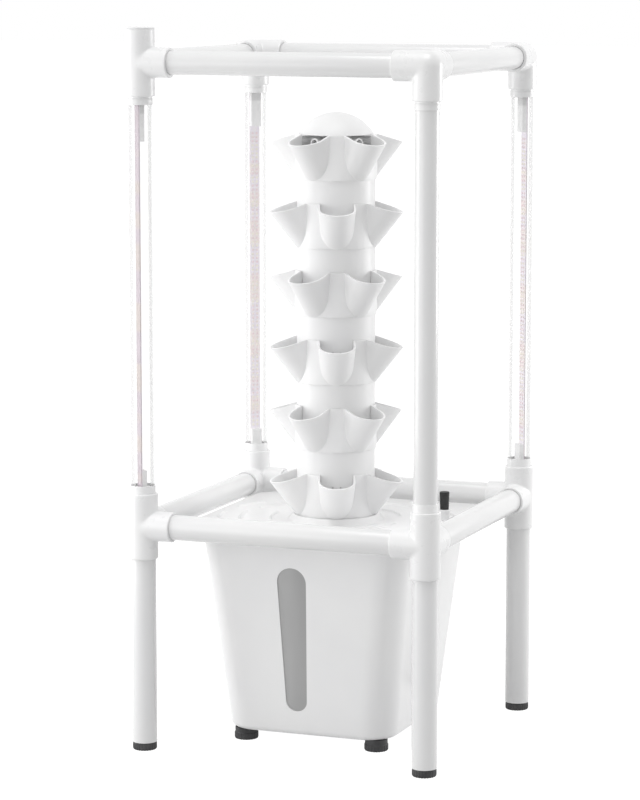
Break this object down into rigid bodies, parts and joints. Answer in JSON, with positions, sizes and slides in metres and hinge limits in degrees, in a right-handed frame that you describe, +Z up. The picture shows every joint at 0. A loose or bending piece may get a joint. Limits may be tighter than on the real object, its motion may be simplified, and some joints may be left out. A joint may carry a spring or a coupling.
{
  "type": "tiered hydroponic system",
  "caption": "Planting tower of stacked pocket tiers under a dome cap, on a lidded water tank, inside an open pipe frame whose posts are clear lamp tubes.",
  "frame": {"origin": "on the floor, midway between the four posts", "axes": "+Z up; -Y is the front, with the water window; +X is the right-hand side seen from the front"},
  "size_m": [0.418, 0.418, 0.922],
  "materials": {
    "pipe_white": "satin extruded PVC pipe",
    "fitting_white": "smooth injection-moulded PVC",
    "tower_white": "smooth food-grade moulded plastic",
    "tank_white": "satin moulded polypropylene",
    "insert_white": "plain moulded nylon",
    "foot_black": "fluted moulded plastic",
    "rubber_black": "ribbed rubber",
    "window_grey": "smoked translucent plastic",
    "clear_tube": "clear polycarbonate tube",
    "lamp_board": "white circuit board with many small lamps",
    "lamp_grey": "grey potted driver and end block",
    "pump_dark": "moulded pump plastic"
  },
  "bodies": {
    "frame_and_tank": {"cable_cap": "fitting_white", "leg_front_left": "pipe_white", "leg_front_right": "pipe_white", "leg_inserts": "insert_white", "leg_rear_left": "pipe_white", "leg_rear_right": "pipe_white", "middle_fitting_front_left": "fitting_white", "middle_fitting_front_right": "fitting_white", "middle_fitting_rear_left": "fitting_white", "middle_fitting_rear_right": "fitting_white", "middle_rail_front": "pipe_white", "middle_rail_left": "pipe_white", "middle_rail_rear": "pipe_white", "middle_rail_right": "pipe_white", "pump_body": "pump_dark", "pump_cover": "pump_dark", "reducing_bushings": "fitting_white", "riser_connector": "pipe_white", "suction_cups": "rubber_black", "tank": "tank_white", "tank_inserts": "insert_white", "top_fitting_front_left": "fitting_white", "top_fitting_front_right": "fitting_white", "top_fitting_rear_left": "fitting_white", "top_fitting_rear_right": "fitting_white", "top_rail_front": "pipe_white", "top_rail_left": "pipe_white", "top_rail_rear": "pipe_white", "top_rail_right": "pipe_white", "upper_post": "pipe_white", "water_window": "window_grey"},
    "lid": {"tank_lid": "tank_white", "riser_pipe": "pipe_white"},
    "leg_foot_front_left": {"leg_foot_front_left": "foot_black"},
    "leg_foot_front_right": {"leg_foot_front_right": "foot_black"},
    "leg_foot_rear_left": {"leg_foot_rear_left": "foot_black"},
    "leg_foot_rear_right": {"leg_foot_rear_right": "foot_black"},
    "tank_foot_front_left": {"tank_foot_front_left": "foot_black"},
    "tank_foot_front_right": {"tank_foot_front_right": "foot_black"},
    "tank_foot_rear_left": {"tank_foot_rear_left": "foot_black"},
    "tank_foot_rear_right": {"tank_foot_rear_right": "foot_black"},
    "lamp_front_left": {"lamp_tube_front_left": "clear_tube", "lamp_board_front_left": "lamp_board", "lamp_ends_front_left": "lamp_grey"},
    "lamp_rear_right": {"lamp_tube_rear_right": "clear_tube", "lamp_board_rear_right": "lamp_board", "lamp_ends_rear_right": "lamp_grey"},
    "lamp_rear_left": {"lamp_tube_rear_left": "clear_tube", "lamp_board_rear_left": "lamp_board", "lamp_ends_rear_left": "lamp_grey"},
    "tier_1": {"tier_1": "tower_white"},
    "tier_2": {"tier_2": "tower_white"},
    "tier_3": {"tier_3": "tower_white"},
    "tier_4": {"tier_4": "tower_white"},
    "tier_5": {"tier_5": "tower_white"},
    "tier_6": {"tier_6": "tower_white"},
    "port_plug": {"port_plug": "rubber_black"},
    "distributor": {"distributor": "tower_white"},
    "dome_cap": {"dome_cap": "tower_white"},
    "impeller": {"impeller": "pump_dark"}
  },
  "joints": [
    {"name": "leg_foot_front_left_screw", "type": "hinge", "parent": "frame_and_tank", "child": "leg_foot_front_left", "pos_m": [-0.19, -0.19, 0.01], "axis": [0, 0, 1], "continuous": true},
    {"name": "leg_foot_front_right_screw", "type": "hinge", "parent": "frame_and_tank", "child": "leg_foot_front_right", "pos_m": [0.19, -0.19, 0.01], "axis": [0, 0, 1], "continuous": true},
    {"name": "leg_foot_rear_left_screw", "type": "hinge", "parent": "frame_and_tank", "child": "leg_foot_rear_left", "pos_m": [-0.19, 0.19, 0.01], "axis": [0, 0, 1], "continuous": true},
    {"name": "leg_foot_rear_right_screw", "type": "hinge", "parent": "frame_and_tank", "child": "leg_foot_rear_right", "pos_m": [0.19, 0.19, 0.01], "axis": [0, 0, 1], "continuous": true},
    {"name": "tank_foot_front_left_screw", "type": "hinge", "parent": "frame_and_tank", "child": "tank_foot_front_left", "pos_m": [-0.09, -0.09, 0.01], "axis": [0, 0, 1], "continuous": true},
    {"name": "tank_foot_front_right_screw", "type": "hinge", "parent": "frame_and_tank", "child": "tank_foot_front_right", "pos_m": [0.09, -0.09, 0.01], "axis": [0, 0, 1], "continuous": true},
    {"name": "tank_foot_rear_left_screw", "type": "hinge", "parent": "frame_and_tank", "child": "tank_foot_rear_left", "pos_m": [-0.09, 0.09, 0.01], "axis": [0, 0, 1], "continuous": true},
    {"name": "tank_foot_rear_right_screw", "type": "hinge", "parent": "frame_and_tank", "child": "tank_foot_rear_right", "pos_m": [0.09, 0.09, 0.01], "axis": [0, 0, 1], "continuous": true},
    {"name": "lamp_turn_front_left", "type": "hinge", "parent": "frame_and_tank", "child": "lamp_front_left", "pos_m": [-0.19, -0.19, 0.5], "axis": [0, 0, 1], "range_deg": [-60, 60]},
    {"name": "lamp_turn_rear_right", "type": "hinge", "parent": "frame_and_tank", "child": "lamp_rear_right", "pos_m": [0.19, 0.19, 0.5], "axis": [0, 0, 1], "range_deg": [-60, 60]},
    {"name": "lamp_turn_rear_left", "type": "hinge", "parent": "frame_and_tank", "child": "lamp_rear_left", "pos_m": [-0.19, 0.19, 0.5], "axis": [0, 0, 1], "range_deg": [-60, 60]},
    {"name": "lid_lift", "type": "slide", "parent": "frame_and_tank", "child": "lid", "axis": [0, 0, 1], "range_m": [0, 0.06]},
    {"name": "port_plug_pull", "type": "slide", "parent": "lid", "child": "port_plug", "axis": [0, 0, 1], "range_m": [0, 0.025]},
    {"name": "tower_turn", "type": "hinge", "parent": "lid", "child": "tier_1", "pos_m": [0, 0, 0.3], "axis": [0, 0, 1], "continuous": true},
    {"name": "tier_2_lift", "type": "slide", "parent": "tier_1", "child": "tier_2", "axis": [0, 0, 1], "range_m": [0, 0.03]},
    {"name": "tier_3_lift", "type": "slide", "parent": "tier_2", "child": "tier_3", "axis": [0, 0, 1], "range_m": [0, 0.03]},
    {"name": "tier_4_lift", "type": "slide", "parent": "tier_3", "child": "tier_4", "axis": [0, 0, 1], "range_m": [0, 0.03]},
    {"name": "tier_5_lift", "type": "slide", "parent": "tier_4", "child": "tier_5", "axis": [0, 0, 1], "range_m": [0, 0.03]},
    {"name": "tier_6_lift", "type": "slide", "parent": "tier_5", "child": "tier_6", "axis": [0, 0, 1], "range_m": [0, 0.03]},
    {"name": "distributor_lift", "type": "slide", "parent": "tier_6", "child": "distributor", "axis": [0, 0, 1], "range_m": [0, 0.03]},
    {"name": "dome_lift", "type": "slide", "parent": "distributor", "child": "dome_cap", "axis": [0, 0, 1], "range_m": [0, 0.03]},
    {"name": "impeller_spin", "type": "hinge", "parent": "frame_and_tank", "child": "impeller", "pos_m": [0, 0, 0.0475], "axis": [0, 1, 0], "continuous": true}
  ]
}
